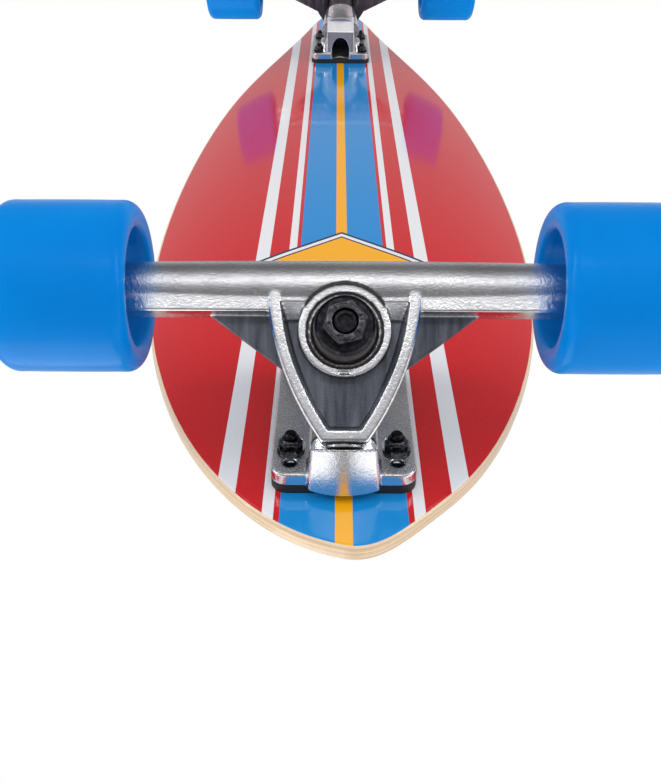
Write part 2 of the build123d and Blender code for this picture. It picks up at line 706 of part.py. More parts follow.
with BuildPart() as wheel:
    with BuildSketch(Plane.XY):
        with BuildLine():
            tread_x = HALF_WHEEL - WHEEL_LIP_ROUND
            face_radius = WHEEL_RADIUS - WHEEL_LIP_ROUND
            Line((0, WHEEL_RADIUS), (tread_x, WHEEL_RADIUS))
            RadiusArc((tread_x, WHEEL_RADIUS), (HALF_WHEEL, face_radius), WHEEL_LIP_ROUND)
            RadiusArc(
                (HALF_WHEEL, face_radius),
                (HALF_WHEEL - 2.2, WHEEL_MOUTH_RADIUS),
                WHEEL_LIP_ROUND,
            )
            Polyline(
                (HALF_WHEEL - 2.2, WHEEL_MOUTH_RADIUS),
                (BEARING_OUTER_FACE + 2.5, WHEEL_HUB_RADIUS + 0.8),
                (BEARING_OUTER_FACE, WHEEL_HUB_RADIUS - 1.4),
                (BEARING_OUTER_FACE, BEARING_RADIUS + FIT),
                (SPACER_LENGTH / 2, BEARING_RADIUS + FIT),
                (SPACER_LENGTH / 2, BEARING_RADIUS - 1.8),
                (0, BEARING_RADIUS - 1.8),
            )
            mirror(about=Plane.YZ)
        make_face()
    revolve(axis=Axis.X)

with BuildPart() as outer_races:
    for x in (-BEARING_MIDDLE_X, BEARING_MIDDLE_X):
        with BuildSketch(Plane.YZ.offset(x)):
            Circle(BEARING_RADIUS)
            Circle(OUTER_RACE_BORE_RADIUS, mode=Mode.SUBTRACT)
        extrude(amount=RACE_HALF, both=True)
        with BuildSketch(Plane.XY):
            with Locations((x, BALL_CIRCLE_RADIUS)):
                Circle(BALL_RADIUS + 0.1)
        revolve(axis=Axis.X, mode=Mode.SUBTRACT)

with BuildPart() as inner_races:
    for x in (-BEARING_MIDDLE_X, BEARING_MIDDLE_X):
        with BuildSketch(Plane.YZ.offset(x)):
            Circle(INNER_RACE_RADIUS)
            Circle(BEARING_BORE_RADIUS, mode=Mode.SUBTRACT)
        extrude(amount=RACE_HALF, both=True)
        with BuildSketch(Plane.XY):
            with Locations((x, BALL_CIRCLE_RADIUS)):
                Circle(BALL_RADIUS + 0.3)
        revolve(axis=Axis.X, mode=Mode.SUBTRACT)

with BuildPart() as bearing_balls:
    for x in (-BEARING_MIDDLE_X, BEARING_MIDDLE_X):
        with Locations(Plane.YZ.offset(x)):
            with PolarLocations(BALL_CIRCLE_RADIUS, BALL_COUNT):
                Sphere(BALL_RADIUS)

with BuildPart() as bearing_shields:
    for x in (-BEARING_MIDDLE_X, BEARING_MIDDLE_X):
        for face in (-1, 1):
            with BuildSketch(Plane.YZ.offset(x + face * (RACE_HALF - 0.6))):
                Circle(OUTER_RACE_BORE_RADIUS - 0.01)
                Circle(INNER_RACE_RADIUS + 0.35, mode=Mode.SUBTRACT)
            extrude(amount=SHIELD_THICK / 2, both=True)

with BuildPart() as bearing_spacer:
    with BuildSketch(Plane.YZ):
        Circle(INNER_RACE_RADIUS - 0.6)
        Circle(BEARING_BORE_RADIUS + 0.1, mode=Mode.SUBTRACT)
    extrude(amount=SPACER_LENGTH / 2, both=True)

WHEEL_PIECES = {
    "wheel": wheel,
    "outer_races": outer_races,
    "inner_races": inner_races,
    "bearing_balls": bearing_balls,
    "bearing_shields": bearing_shields,
    "bearing_spacer": bearing_spacer,
}

# A rider facing the nose has +X on the left.
for end, axle_y in (("front", FRONT_AXLE_Y), ("rear", REAR_AXLE_Y)):
    for side, side_x in (("left", WHEEL_CENTRE_X), ("right", -WHEEL_CENTRE_X)):
        for piece_name, piece in WHEEL_PIECES.items():
            with BuildPart() as placed:
                with Locations((side_x, axle_y, WHEEL_RADIUS)):
                    add(piece.part)
            placed.part.label = f"{end}_{side}_{piece_name}"
            export_step(placed.part, f"parts/{placed.part.label}.step")
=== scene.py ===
"""Looks for a pintail longboard skateboard that stands on its wheels, seen from below its nose.

Metres, +Z up, the ground at Z = 0, the nose towards -Y. Profiles are written in millimetres.
"""

import json
import math

import bmesh
import bpy
from mathutils import Matrix, Vector


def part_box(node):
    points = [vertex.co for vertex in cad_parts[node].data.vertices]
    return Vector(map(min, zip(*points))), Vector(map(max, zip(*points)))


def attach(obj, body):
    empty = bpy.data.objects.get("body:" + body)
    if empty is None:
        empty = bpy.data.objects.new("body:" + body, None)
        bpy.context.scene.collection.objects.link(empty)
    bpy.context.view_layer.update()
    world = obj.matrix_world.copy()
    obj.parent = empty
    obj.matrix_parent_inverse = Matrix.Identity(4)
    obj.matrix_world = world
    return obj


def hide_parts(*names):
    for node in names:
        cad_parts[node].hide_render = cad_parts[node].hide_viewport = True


MM = 0.001
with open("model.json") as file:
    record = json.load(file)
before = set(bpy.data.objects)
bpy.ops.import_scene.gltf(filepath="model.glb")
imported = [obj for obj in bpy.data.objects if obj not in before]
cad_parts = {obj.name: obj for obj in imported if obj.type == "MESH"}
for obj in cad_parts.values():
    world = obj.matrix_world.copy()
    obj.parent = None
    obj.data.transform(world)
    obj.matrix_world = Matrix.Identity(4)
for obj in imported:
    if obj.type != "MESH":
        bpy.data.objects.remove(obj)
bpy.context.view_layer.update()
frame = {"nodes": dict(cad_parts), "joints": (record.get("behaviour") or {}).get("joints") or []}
nodes = frame["nodes"]
joints = {joint["name"]: joint for joint in frame["joints"]}
ENDS = ("front", "rear")
SIDES = ("left", "right")
X_AXIS = Vector((1, 0, 0))

# ---- Sizes the looks need, in millimetres ----------------------------------------------------------
# Deck
NOSE_Y = -455.5
UNDERSIDE_Z = 97.5
DECK_THICK = 7.2
DECK_FLAT_HALF = 28.0
DECK_CONCAVE_RADIUS = 280.0
PLIES = 7
# Wheels
WHEEL_RADIUS = 32.5
HUB_HALF = 12.0
# Hangers, from the pivot line outwards and along it
POCKET_FLOOR = 1.5
LEDGE_LOW = -10.6
TUBE_EDGE = -6.0
# Baseplates
RISER_THICK = 3.5
PLATE_FACE_Z = 88.4
CUP_FACE = 61.9
FLANGE_RADIUS = 10.3
FLANGE_DEPTH = 1.4
BOWL_RADIUS = 7.0
SOCKET_OPEN = 5.0


# ---- Shader helpers --------------------------------------------------------------------------------
class Nodes:
    """A node tree, with short ways to add the nodes that are used over and over."""

    def __init__(self, tree):
        self.tree = tree
        self.coords = tree.nodes.new("ShaderNodeTexCoord")

    def add(self, kind):
        return self.tree.nodes.new(kind)

    def link(self, value, socket):
        """Joins an output to a socket, or sets the socket to a plain value."""
        if isinstance(value, bpy.types.NodeSocket):
            self.tree.links.new(value, socket)
        else:
            socket.default_value = value

    def math(self, operation, first, second=0.0, clamp=False):
        node = self.add("ShaderNodeMath")
        node.operation = operation
        node.use_clamp = clamp
        self.link(first, node.inputs[0])
        self.link(second, node.inputs[1])
        return node.outputs[0]

    def split(self, vector):
        """The X, Y and Z outputs of a vector."""
        node = self.add("ShaderNodeSeparateXYZ")
        self.link(vector, node.inputs[0])
        return node.outputs

    def stretch(self, scale):
        """Object coordinates multiplied by a scale on each axis."""
        node = self.add("ShaderNodeVectorMath")
        node.operation = "MULTIPLY"
        self.link(self.coords.outputs["Object"], node.inputs[0])
        node.inputs[1].default_value = scale
        return node.outputs[0]

    def noise(self, scale, detail=3.0, roughness=0.5, vector=None):
        node = self.add("ShaderNodeTexNoise")
        self.link(vector or self.coords.outputs["Object"], node.inputs["Vector"])
        node.inputs["Scale"].default_value = scale
        node.inputs["Detail"].default_value = detail
        node.inputs["Roughness"].default_value = roughness
        return node.outputs["Fac"]

    def cells(self, scale):
        node = self.add("ShaderNodeTexVoronoi")
        self.link(self.coords.outputs["Object"], node.inputs["Vector"])
        node.inputs["Scale"].default_value = scale
        return node.outputs["Distance"]

    def ramp(self, factor, stops, constant=False):
        """A colour ramp through (position, colour) stops."""
        node = self.add("ShaderNodeValToRGB")
        node.color_ramp.interpolation = "CONSTANT" if constant else "LINEAR"
        elements = node.color_ramp.elements
        while len(elements) < len(stops):
            elements.new(0.5)
        for element, (position, colour) in zip(elements, stops):
            element.position = position
            element.color = (*colour, 1)
        self.link(factor, node.inputs["Fac"])
        return node.outputs["Color"]

    def between(self, factor, low, high, start=0.0, stop=1.0):
        """Maps a factor that goes from start to stop onto low to high."""
        node = self.add("ShaderNodeMapRange")
        self.link(factor, node.inputs["Value"])
        node.inputs["From Min"].default_value = start
        node.inputs["From Max"].default_value = stop
        node.inputs["To Min"].default_value = low
        node.inputs["To Max"].default_value = high
        return node.outputs["Result"]

    def mix(self, factor, first, second):
        """Mixes two colours."""
        node = self.add("ShaderNodeMix")
        node.data_type = "RGBA"
        self.link(factor, node.inputs["Factor"])
        for value, socket in ((first, node.inputs[6]), (second, node.inputs[7])):
            self.link((*value, 1) if isinstance(value, tuple) else value, socket)
        return node.outputs[2]

    def either(self, factor, first, second):
        """Mixes two shaders."""
        node = self.add("ShaderNodeMixShader")
        self.link(factor, node.inputs[0])
        self.link(first, node.inputs[1])
        self.link(second, node.inputs[2])
        return node.outputs[0]

    def bump(self, height, strength, distance=MM, normal=None):
        node = self.add("ShaderNodeBump")
        self.link(strength, node.inputs["Strength"])
        node.inputs["Distance"].default_value = distance
        self.link(height, node.inputs["Height"])
        if normal is not None:
            self.link(normal, node.inputs["Normal"])
        return node.outputs["Normal"]

    def rounded(self, radius):
        """A normal that rounds sharp edges over the given radius."""
        node = self.add("ShaderNodeBevel")
        node.samples = 6
        node.inputs["Radius"].default_value = radius
        return node.outputs["Normal"]


class Shader(Nodes):
    """A new material's nodes, round the surface that it starts with."""

    def __init__(self, name):
        self.material = bpy.data.materials.new(name)
        self.material.use_nodes = True
        super().__init__(self.material.node_tree)
        self.surface = self.tree.nodes["Principled BSDF"]

    def set(self, **values):
        """Sets sockets of the surface, whose names are written with underscores."""
        for name, value in values.items():
            self.link(value, self.surface.inputs[name.replace("_", " ")])


# ---- Materials -------------------------------------------------------------------------------------
RED = (0.64, 0.003, 0.008)
BLUE = (0.0, 0.26, 0.68)
YELLOW = (1.0, 0.45, 0.0)
WHITE = (0.87, 0.87, 0.9)
NAVY = (0.01, 0.02, 0.07)
# Half widths of the stripes from the centre line outwards, each with its colour
STRIPES = [
    (3.2, YELLOW),
    (23.1, BLUE),
    (26.0, RED),
    (29.7, WHITE),
    (40.6, RED),
    (49.0, WHITE),
    (114.0, RED),
]
BADGE_Y = NOSE_Y + 203.5
BADGE_SLOPE = 0.81
BADGE_HALF_HEIGHT = 63.0
BADGE_HALF_WIDTH = 60.0
# The badge's rings from its middle outwards, as shares of its half height
BADGE_RINGS = [(0.0, YELLOW), (0.875, NAVY), (0.9, WHITE), (0.96, NAVY)]
# Two plies of a pair and the glue line before each, as shares of the pair's thickness
PLY_PAIR = [
    (0.0, (0.33, 0.18, 0.09)),
    (0.045, (0.9, 0.7, 0.5)),
    (0.46, (0.86, 0.65, 0.44)),
    (0.5, (0.42, 0.25, 0.14)),
    (0.545, (0.74, 0.53, 0.33)),
    (0.98, (0.78, 0.57, 0.36)),
]
PALE_GRAIN = (0.88, 0.68, 0.45)
DARK_GRAIN = (0.45, 0.27, 0.13)


def striped_print(s, across, y):
    """The stripes with the badge on them: a plain bordered lozenge, cut off at its sides."""
    stops = []
    inner = 0.0
    for outer, colour in STRIPES:
        stops.append((inner / DECK_CONCAVE_RADIUS, colour))
        inner = outer
    stripes = s.ramp(s.math("DIVIDE", across, DECK_CONCAVE_RADIUS), stops, constant=True)
    along = s.math("ABSOLUTE", s.math("SUBTRACT", y, BADGE_Y))
    reach = s.math("ADD", along, s.math("MULTIPLY", across, BADGE_SLOPE))
    badge = s.ramp(s.math("DIVIDE", reach, BADGE_HALF_HEIGHT), BADGE_RINGS, constant=True)
    in_height = s.math("LESS_THAN", reach, BADGE_HALF_HEIGHT)
    in_width = s.math("LESS_THAN", across, BADGE_HALF_WIDTH)
    print_colour = s.mix(s.math("MULTIPLY", in_height, in_width), stripes, badge)
    speckle = s.noise(700, 2)
    return s.mix(s.between(speckle, 0.0, 0.02), print_colour, (0.9, 0.9, 0.9))


def bare_plies(s, across, z):
    """Layers of alternate grain, by the height above the concave underside."""
    past_flat = s.math("MAXIMUM", s.math("SUBTRACT", across, DECK_FLAT_HALF), 0.0)
    chord = s.math(
        "SQRT",
        s.math("SUBTRACT", DECK_CONCAVE_RADIUS**2, s.math("POWER", past_flat, 2.0)),
    )
    rise = s.math("SUBTRACT", DECK_CONCAVE_RADIUS + UNDERSIDE_Z, chord)
    depth = s.math("DIVIDE", s.math("SUBTRACT", z, rise), DECK_THICK / PLIES)
    layer = s.math("MODULO", s.math("ADD", depth, 0.02), 2.0)
    plies = s.ramp(s.math("DIVIDE", layer, 2.0), PLY_PAIR)
    grain = s.noise(60, 6, 0.65, s.stretch((1, 1, 12)))
    fine_grain = s.noise(900, 2, 0.5, s.stretch((1, 1, 0.4)))
    plies = s.mix(s.between(grain, -0.2, 0.6), plies, PALE_GRAIN)
    return s.mix(s.between(fine_grain, 0.0, 0.3), plies, DARK_GRAIN)


def printed_deck():
    """Print under gloss lacquer on the faces that look down, and wood on the rim and the riding side."""
    s = Shader("printed_deck")
    x, y, z = s.split(s.stretch((1000, 1000, 1000)))
    across = s.math("ABSOLUTE", x)
    print_colour = striped_print(s, across, y)
    plies = bare_plies(s, across, z)
    facing_down = s.split(s.coords.outputs["Normal"])[2]
    printed = s.math("LESS_THAN", facing_down, -0.9)
    s.set(Base_Color=s.mix(printed, plies, print_colour))
    s.set(Roughness=s.between(printed, 0.42, 0.13))
    ripple = s.noise(9, 3, 0.5)
    s.set(Normal=s.bump(ripple, 0.03))
    s.set(Coat_Weight=0.38, Coat_Roughness=0.04, Coat_IOR=1.5)
    return s.material


def grip():
    """Black abrasive tape: coarse glinting grit."""
    s = Shader("grip")
    grit = s.cells(1500)
    s.set(Base_Color=s.ramp(grit, [(0.0, (0.045, 0.045, 0.048)), (0.6, (0.008, 0.008, 0.009))]))
    s.set(Roughness=s.between(grit, 0.45, 0.95))
    s.set(Normal=s.bump(grit, 0.9, 0.3 * MM))
    return s.material


def urethane_wheel():
    """Glossy blue cast urethane with faint clouding and fine scuffs."""
    s = Shader("urethane_wheel")
    cloud = s.noise(30, 3)
    s.set(Base_Color=s.ramp(cloud, [(0.3, (0.0, 0.21, 0.66)), (0.7, (0.0, 0.24, 0.72))]))
    scuff = s.noise(420, 4, 0.6, s.stretch((3, 1, 1)))
    s.set(Roughness=s.between(scuff, 0.16, 0.3))
    s.set(Normal=s.bump(s.noise(1200, 2), 0.03))
    s.set(Specular_IOR_Level=0.06, Coat_Weight=0.03, Coat_Roughness=0.08)
    s.set(Subsurface_Weight=0.25, Subsurface_Radius=(0.001, 0.003, 0.006), Subsurface_Scale=1.0)
    return s.material


def polished_casting():
    """Cast aluminium, tumbled bright outside and left with a sand finish in its pockets and webs, whose
    dark colour is partly the as-cast grey and partly painted shade.
    """
    s = Shader("polished_casting")
    cast_and_shade = s.add("ShaderNodeAttribute")
    cast_and_shade.attribute_name = "cast_and_shade"
    sand_shade_weight = cast_and_shade.outputs["Fac"]
    broad = s.noise(38, 4, 0.55)
    fine = s.noise(700, 3, 0.65)
    sand = s.noise(1400, 2, 0.75)
    streaks = s.noise(260, 4, 0.6, s.stretch((1, 0.12, 0.12)))
    bright = s.ramp(broad, [(0.3, (0.68, 0.68, 0.70)), (0.65, (0.84, 0.84, 0.86))])
    # The dull colour, used where the weight passes a half, is partly the pockets' as-cast grey and partly
    # painted shade.
    dull_and_shaded = s.ramp(streaks, [(0.3, (0.07, 0.08, 0.1)), (0.7, (0.22, 0.23, 0.27))])
    darkened = s.math("SUBTRACT", s.math("MULTIPLY", sand_shade_weight, 2.0), 1.0, clamp=True)
    s.set(Base_Color=s.mix(darkened, bright, dull_and_shaded))
    s.set(Metallic=1.0)
    rougher = s.math("MULTIPLY", s.math("MULTIPLY", sand_shade_weight, sand_shade_weight), 0.28)
    s.set(Roughness=s.math("ADD", s.between(fine, 0.08, 0.3), rougher))
    ripples = s.bump(broad, 0.4, 0.8 * MM)
    grain = s.bump(fine, 0.3, 0.3 * MM, ripples)
    sparkle = s.math("ADD", 0.16, s.math("MULTIPLY", sand_shade_weight, 1.2), clamp=True)
    s.set(Normal=s.bump(sand, sparkle, 0.25 * MM, grain))
    return s.material


def black_steel(name, colour):
    """Glossy blackened steel with worn high spots."""
    s = Shader(name)
    wear = s.noise(500, 4, 0.6)
    worn = tuple(c * 3.5 for c in colour)
    s.set(Base_Color=s.ramp(wear, [(0.45, colour), (0.8, worn)]))
    s.set(Metallic=1.0, Roughness=s.between(wear, 0.12, 0.34))
    s.set(Normal=s.bump(wear, 0.12, 0.2 * MM, s.rounded(0.5 * MM)))
    return s.material


def turned_steel(name, colour, roughness):
    """Bright steel with fine turning lines round the axle."""
    s = Shader(name)
    lines = s.noise(1600, 2, 0.5, s.stretch((1, 0.02, 0.02)))
    s.set(Base_Color=s.ramp(lines, [(0.3, colour), (0.8, tuple(c * 0.8 for c in colour))]))
    s.set(Metallic=1.0, Roughness=s.between(lines, roughness, roughness + 0.2))
    s.set(Normal=s.bump(lines, 0.1, 0.2 * MM, s.rounded(0.3 * MM)))
    return s.material


def moulded(name, colour, roughness, grain_scale=900, strength=0.12):
    """Moulded rubber or plastic with a fine even grain."""
    s = Shader(name)
    grain = s.noise(grain_scale, 3, 0.6)
    lighter = tuple(min(1.0, c * 1.6 + 0.004) for c in colour)
    s.set(Base_Color=s.ramp(grain, [(0.3, colour), (0.8, lighter)]))
    s.set(Roughness=s.between(grain, roughness, roughness + 0.15))
    s.set(Normal=s.bump(grain, strength, 0.3 * MM, s.rounded(0.4 * MM)))
    return s.material


DECK = printed_deck()
GRIP = grip()
WHEEL = urethane_wheel()
CASTING = polished_casting()
BLACK_STEEL = black_steel("black_steel", (0.018, 0.018, 0.021))
NUT_STEEL = black_steel("nut_steel", (0.06, 0.06, 0.066))
AXLE_STEEL = turned_steel("axle_steel", (0.62, 0.62, 0.64), 0.2)
PLATED = turned_steel("plated_steel", (0.75, 0.75, 0.76), 0.14)
BEARING_STEEL = turned_steel("bearing_steel", (0.68, 0.68, 0.7), 0.1)
RISER = moulded("riser_plastic", (0.012, 0.012, 0.012), 0.5)
CUP = moulded("cup_urethane", (0.014, 0.013, 0.013), 0.35)
BUSHING = moulded("bushing_urethane", (0.035, 0.028, 0.026), 0.25, 500, 0.06)
SEAL = moulded("seal_rubber", (0.012, 0.012, 0.012), 0.45)

NODE_MATERIALS = {
    "deck": DECK,
    "grip_tape": GRIP,
    "riser_pad": RISER,
    "baseplate": CASTING,
    "pivot_cup": CUP,
    "hanger": CASTING,
    "axle": AXLE_STEEL,
    "speed_washers": PLATED,
    "axle_nuts": PLATED,
    "kingpin": BLACK_STEEL,
    "kingpin_nut": NUT_STEEL,
    "roadside_washer": BLACK_STEEL,
    "roadside_bushing": BUSHING,
    "boardside_washer": BLACK_STEEL,
    "boardside_bushing": BUSHING,
    "deck_bolts": BLACK_STEEL,
    "deck_nuts": NUT_STEEL,
    "wheel": WHEEL,
    "outer_races": BEARING_STEEL,
    "inner_races": BEARING_STEEL,
    "bearing_balls": BEARING_STEEL,
    "bearing_shields": SEAL,
    "bearing_spacer": PLATED,
}


def plain_name(node):
    """A node's name without the end and side it belongs to."""
    for word in (*ENDS, *SIDES):
        node = node.removeprefix(word + "_")
    return node


for node_name, node in nodes.items():
    node.data.materials.clear()
    node.data.materials.append(NODE_MATERIALS[plain_name(node_name)])


# ---- Mesh helpers ----------------------------------------------------------------------------------
LATHE_SEGMENTS = 96
CAST_VOXEL = 0.45


def new_piece(name, mesh, material):
    """An object for a mesh, with one material, shaded smooth."""
    piece = bpy.data.objects.new(name, mesh)
    bpy.context.scene.collection.objects.link(piece)
    mesh.materials.clear()
    mesh.materials.append(material)
    mesh.shade_smooth()
    return piece


def apply_modifiers(piece):
    """Replaces a piece's mesh by the one its modifiers give."""
    graph = bpy.context.evaluated_depsgraph_get()
    mesh = bpy.data.meshes.new_from_object(piece.evaluated_get(graph))
    piece.modifiers.clear()
    piece.data = mesh
    mesh.shade_smooth()


def cast_copy(node, name, smoothing, added=None):
    """A node's shape, with a closed mesh added to it, as a casting: edges and inner corners softened."""
    shape = bmesh.new()
    shape.from_mesh(nodes[node].data)
    if added is not None:
        shape.from_mesh(added)
    mesh = bpy.data.meshes.new(name)
    shape.to_mesh(mesh)
    shape.free()
    piece = new_piece(name, mesh, CASTING)
    remesh = piece.modifiers.new("remesh", "REMESH")
    remesh.mode = "VOXEL"
    remesh.voxel_size = CAST_VOXEL * MM
    remesh.use_smooth_shade = True
    smooth = piece.modifiers.new("smooth", "SMOOTH")
    smooth.factor = 0.5
    smooth.iterations = smoothing
    apply_modifiers(piece)
    return piece


def store_cast_and_shade(piece, weight):
    """Stores at each point how much sand finish the casting was left with, from 0 for polished to 1;
    above a half the colour also turns dark, partly as-cast grey and partly painted shade.
    """
    values = [weight(vertex) for vertex in piece.data.vertices]
    layer = piece.data.attributes.new("cast_and_shade", "FLOAT", "POINT")
    layer.data.foreach_set("value", values)


def fade(value, full, none):
    """1 where value is at full, 0 where it is at none, straight in between."""
    return min(1.0, max(0.0, (value - none) / (full - none)))


def arc(centre, radius, start, end, steps=8):
    """Points on an arc between two angles in degrees, both ends included."""
    angles = [math.radians(start + (end - start) * i / steps) for i in range(steps + 1)]
    return [(centre[0] + radius * math.cos(a), centre[1] + radius * math.sin(a)) for a in angles]


def lathe(name, profile, place, material):
    """A closed profile of (along the axis, radius) in millimetres, turned about place's X axis."""
    mesh = bpy.data.meshes.new(name)
    bm = bmesh.new()
    rings = []
    for i in range(LATHE_SEGMENTS):
        angle = 2 * math.pi * i / LATHE_SEGMENTS
        side, up = math.cos(angle) * MM, math.sin(angle) * MM
        rings.append([bm.verts.new((along * MM, r * side, r * up)) for along, r in profile])
    for i, ring in enumerate(rings):
        following = rings[(i + 1) % LATHE_SEGMENTS]
        for j in range(len(profile)):
            k = (j + 1) % len(profile)
            bm.faces.new((ring[j], ring[k], following[k], following[j]))
    bmesh.ops.recalc_face_normals(bm, faces=bm.faces)
    bm.transform(place)
    bm.to_mesh(mesh)
    bm.free()
    return new_piece(name, mesh, material)


# ---- Wheels ----------------------------------------------------------------------------------------
def wheel_half_profile():
    """One side of the wheel's section, from the middle of the tread round to the bearing seat.

    Each point is (distance from the wheel's middle, radius).
    """
    tread = [(0, WHEEL_RADIUS), (10, WHEEL_RADIUS - 0.02), (17, WHEEL_RADIUS - 0.1)]
    lip = arc((20, 27), 5.45, 88, 2, 10)
    mouth = arc((22.2, 24.9), 2.9, -20, -62, 4)
    funnel = [(20.5, 21.9), (16, 20.2), (14.2, 19.3), (12.6, 18.4), (HUB_HALF, 17.4)]
    seat = [(HUB_HALF, 13), (HUB_HALF, 11.3), (11.7, 11.06), (5, 11.06), (5, 9.3)]
    return tread + lip + mouth + funnel + seat


half = wheel_half_profile()
wheel_profile = half + [(-x, r) for x, r in reversed(half) if x > 0]

for end in ENDS:
    for side in SIDES:
        node = f"{end}_{side}_wheel"
        low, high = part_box(node)
        place = Matrix.Translation((low + high) / 2)
        wheel = lathe(f"{node}_tyre", wheel_profile, place, WHEEL)
        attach(wheel, f"{node}_body")
        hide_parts(node)

# ---- Trucks ----------------------------------------------------------------------------------------
HANGER_SMOOTHING = 3
PLATE_SMOOTHING = 2
TUBE_SANDINESS = 0.3
PLATE_SANDINESS = 0.45
# The pivot housing's block has round corners and a bowed front, and narrows from the riser upwards.
# Its middle is this far out from the middle of the truck's bolts.
HOUSING_OUT = 36.0
HOUSING_HALF_WIDTH = 14.2
HOUSING_FRONT = 14.0
HOUSING_BACK = -2.0
HOUSING_CORNER = 3.5
HOUSING_BOW = 30.0
HOUSING_TOP_Z = 60.0
HOUSING_TOP_SCALE = 0.79


def hanger_sand_and_shade(end):
    """A weight that is 1 on the pocket's floor and the webs, in the frame of the hanger's V, which also
    paints shade into them.
    """
    joint = joints[f"{end}_steer"]
    origin = Vector(joint["pos_m"])
    along = Vector(joint["axis"])
    out = along.cross(X_AXIS) if end == "front" else X_AXIS.cross(along)

    def weight(vertex):
        offset = (vertex.co - origin) / MM
        low = fade(offset.dot(out), POCKET_FLOOR + 0.6, POCKET_FLOOR + 2.2)
        below_ledge = fade(offset.dot(along), LEDGE_LOW - 0.6, LEDGE_LOW + 0.4)
        on_tube = fade(offset.dot(along), TUBE_EDGE, TUBE_EDGE - 0.8)
        return max(low * below_ledge, TUBE_SANDINESS * on_tube)

    return weight


def plate_sandiness(vertex):
    """A weight that leaves the baseplate's flat face partly sandy, and its housings and edges bright."""
    height = fade(vertex.co.z / MM, PLATE_FACE_Z - 1, PLATE_FACE_Z - 5)
    return PLATE_SANDINESS * height * fade(-vertex.normal.z, 0.98, 0.9)


def housing_outline():
    """The block's outline, with Y away from the truck's middle."""
    corner_x = HOUSING_HALF_WIDTH - HOUSING_CORNER
    bow_y = HOUSING_FRONT - HOUSING_BOW
    rise = math.sqrt((HOUSING_BOW - HOUSING_CORNER) ** 2 - corner_x**2)
    turn = math.degrees(math.atan2(rise, corner_x))
    right = arc((corner_x, bow_y + rise), HOUSING_CORNER, 0, turn, 6)
    front = arc((0, bow_y), HOUSING_BOW, turn, 180 - turn, 16)
    left = arc((-corner_x, bow_y + rise), HOUSING_CORNER, 180 - turn, 180, 6)
    back = [(-HOUSING_HALF_WIDTH, HOUSING_BACK), (HOUSING_HALF_WIDTH, HOUSING_BACK)]
    return right + front[1:-1] + left + back


def drafted_block(end, cup, along):
    """The block from the riser up to the plane of the cup's face."""
    outward = -math.copysign(1.0, along.y)
    low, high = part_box(f"{end}_deck_bolts")
    centre_y = (low.y + high.y) / 2 + outward * HOUSING_OUT * MM
    bm = bmesh.new()
    rings = []
    for z, scale in ((UNDERSIDE_Z - RISER_THICK, MM), (HOUSING_TOP_Z, HOUSING_TOP_SCALE * MM)):
        points = [(x * scale, centre_y + outward * y * scale, z * MM) for x, y in housing_outline()]
        rings.append([bm.verts.new(point) for point in points])
    base, top = rings
    for i in range(len(base)):
        j = (i + 1) % len(base)
        bm.faces.new((base[i], base[j], top[j], top[i]))
    bm.faces.new(base)
    bm.faces.new(top)
    whole = bm.verts[:] + bm.edges[:] + bm.faces[:]
    bmesh.ops.bisect_plane(bm, geom=whole, plane_co=cup, plane_no=along, clear_outer=True)
    bmesh.ops.holes_fill(bm, edges=bm.edges)
    bmesh.ops.recalc_face_normals(bm, faces=bm.faces)
    mesh = bpy.data.meshes.new(f"{end}_housing_block")
    bm.to_mesh(mesh)
    bm.free()
    return new_piece(mesh.name, mesh, CASTING)


def socket_cutter(end, cup, along):
    """The cup's counterbore and bowl. Its profile stops just off the axis, where a lathe has no faces."""
    bowl = arc((-FLANGE_DEPTH, 0), BOWL_RADIUS, 179.9, 90)
    mouth = [(-FLANGE_DEPTH, FLANGE_RADIUS), (SOCKET_OPEN, FLANGE_RADIUS), (SOCKET_OPEN, 0.01)]
    place = Matrix.Translation(cup) @ along.to_track_quat("X", "Z").to_matrix().to_4x4()
    return lathe(f"{end}_socket_cutter", bowl + mouth, place, CASTING)


def housing_block(end):
    """A mesh that squares the round pivot housing, open where the cup sits."""
    joint = joints[f"{end}_steer"]
    along = Vector(joint["axis"])
    cup = Vector(joint["pos_m"]) - along * CUP_FACE * MM
    block = drafted_block(end, cup, along)
    cutter = socket_cutter(end, cup, along)
    cut = block.modifiers.new("socket", "BOOLEAN")
    cut.operation = "DIFFERENCE"
    cut.object = cutter
    apply_modifiers(block)
    shape = block.data
    bpy.data.objects.remove(block)
    bpy.data.objects.remove(cutter)
    return shape


for end in ENDS:
    hanger = cast_copy(f"{end}_hanger", f"{end}_hanger_casting", HANGER_SMOOTHING)
    store_cast_and_shade(hanger, hanger_sand_and_shade(end))
    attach(hanger, f"{end}_hanger_body")
    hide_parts(f"{end}_hanger")
    plate = cast_copy(f"{end}_baseplate", f"{end}_baseplate_casting", PLATE_SMOOTHING, housing_block(end))
    store_cast_and_shade(plate, plate_sandiness)
    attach(plate, "board")
    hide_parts(f"{end}_baseplate")

# ---- Floor, light and camera -----------------------------------------------------------------------
FLOOR_SIZE = 8
scene = bpy.context.scene
scene.view_settings.view_transform = "Standard"


def pale_floor():
    """White on top and clear from underneath, because the camera looks up through it."""
    s = Shader("pale_floor")
    s.set(Base_Color=s.between(s.noise(3, 2), 0.86, 0.9), Roughness=0.7)
    clear = s.add("ShaderNodeBsdfTransparent").outputs[0]
    back = s.add("ShaderNodeNewGeometry").outputs["Backfacing"]
    s.link(s.either(back, s.surface.outputs[0], clear), s.tree.nodes["Material Output"].inputs["Surface"])
    return s.material


bpy.ops.mesh.primitive_plane_add(size=FLOOR_SIZE, location=(0, 0, 0))
floor = bpy.context.object
floor.name = "floor"
floor.data.materials.append(pale_floor())
floor.visible_diffuse = False
floor.visible_glossy = False
floor.visible_transmission = False
floor.visible_shadow = False


